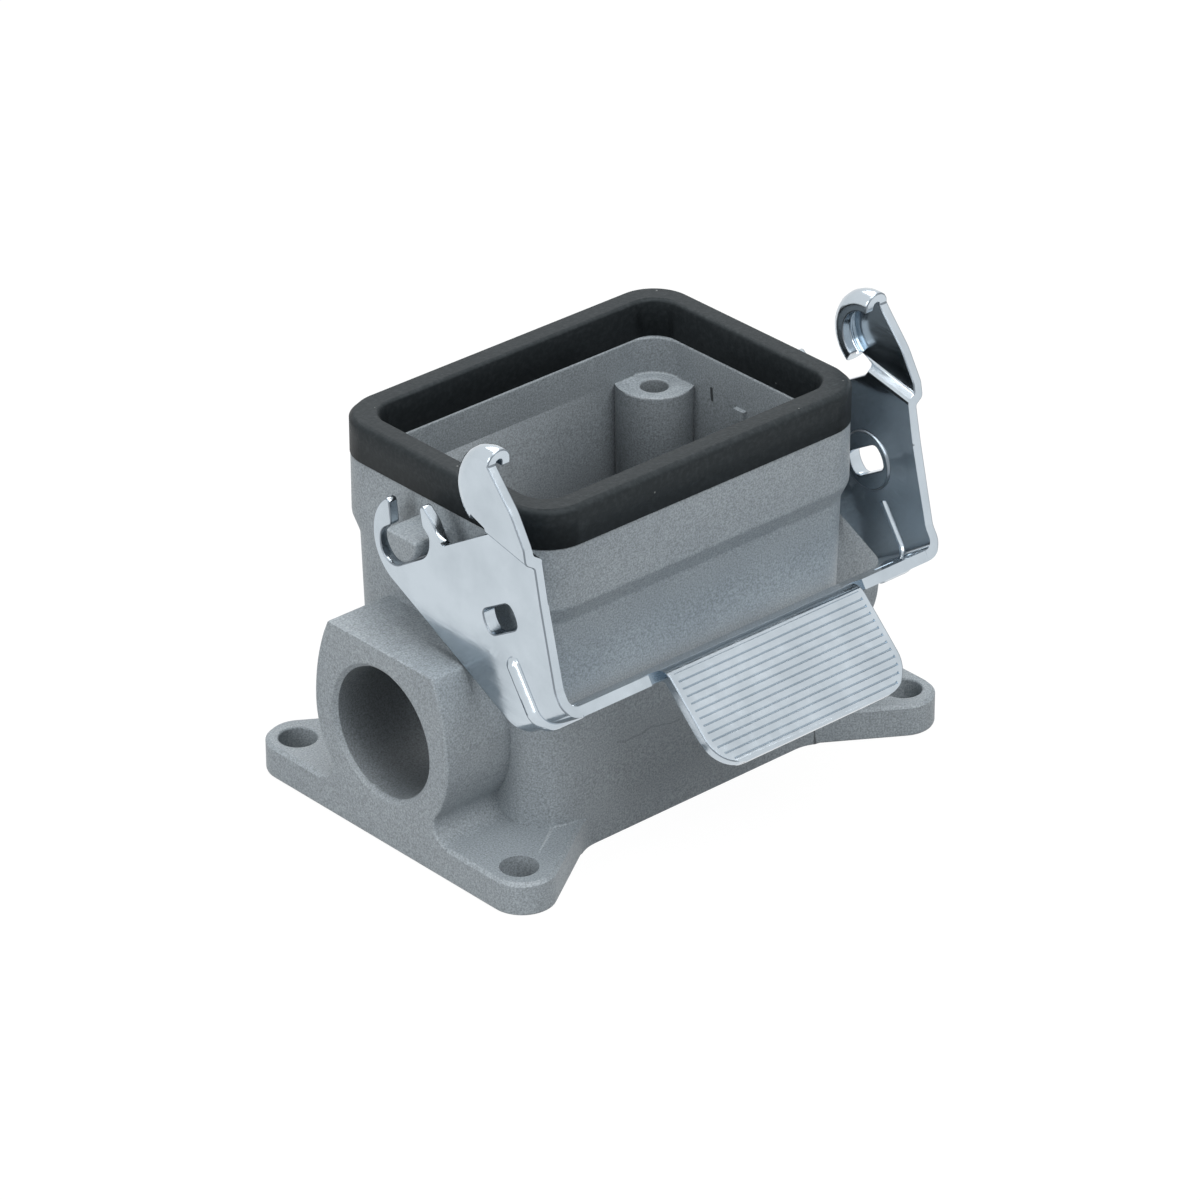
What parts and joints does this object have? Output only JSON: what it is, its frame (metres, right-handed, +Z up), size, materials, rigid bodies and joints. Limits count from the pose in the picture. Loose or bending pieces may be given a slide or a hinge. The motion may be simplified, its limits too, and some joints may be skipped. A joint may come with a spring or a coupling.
{
  "type": "heavy duty rectangular connector housing",
  "caption": "Surface mounting base housing of a heavy duty rectangular connector: grey cast box with side cable entry, rim gasket and one swinging sheet steel locking lever.",
  "frame": {"origin": "centre of the underside, on the plane that sits on the panel", "axes": "+X along the long side towards the closed end block, -X towards the cable entry, -Y towards the lever's bar and tab, +Z up through the open rim"},
  "size_m": [0.0802, 0.0717, 0.0654],
  "materials": {
    "grey_paint": "matt powder paint on die cast aluminium",
    "black_rubber": "satin",
    "zinc_steel": "bright zinc plated"
  },
  "bodies": {
    "base": {"housing": "grey_paint", "gasket": "black_rubber"},
    "lever": {"locking_lever": "zinc_steel"}
  },
  "joints": [
    {"name": "lever_swing", "type": "hinge", "parent": "base", "child": "lever", "pos_m": [0, 0, 0.0452], "axis": [-1, 0, 0], "range_deg": [0, 55]}
  ]
}
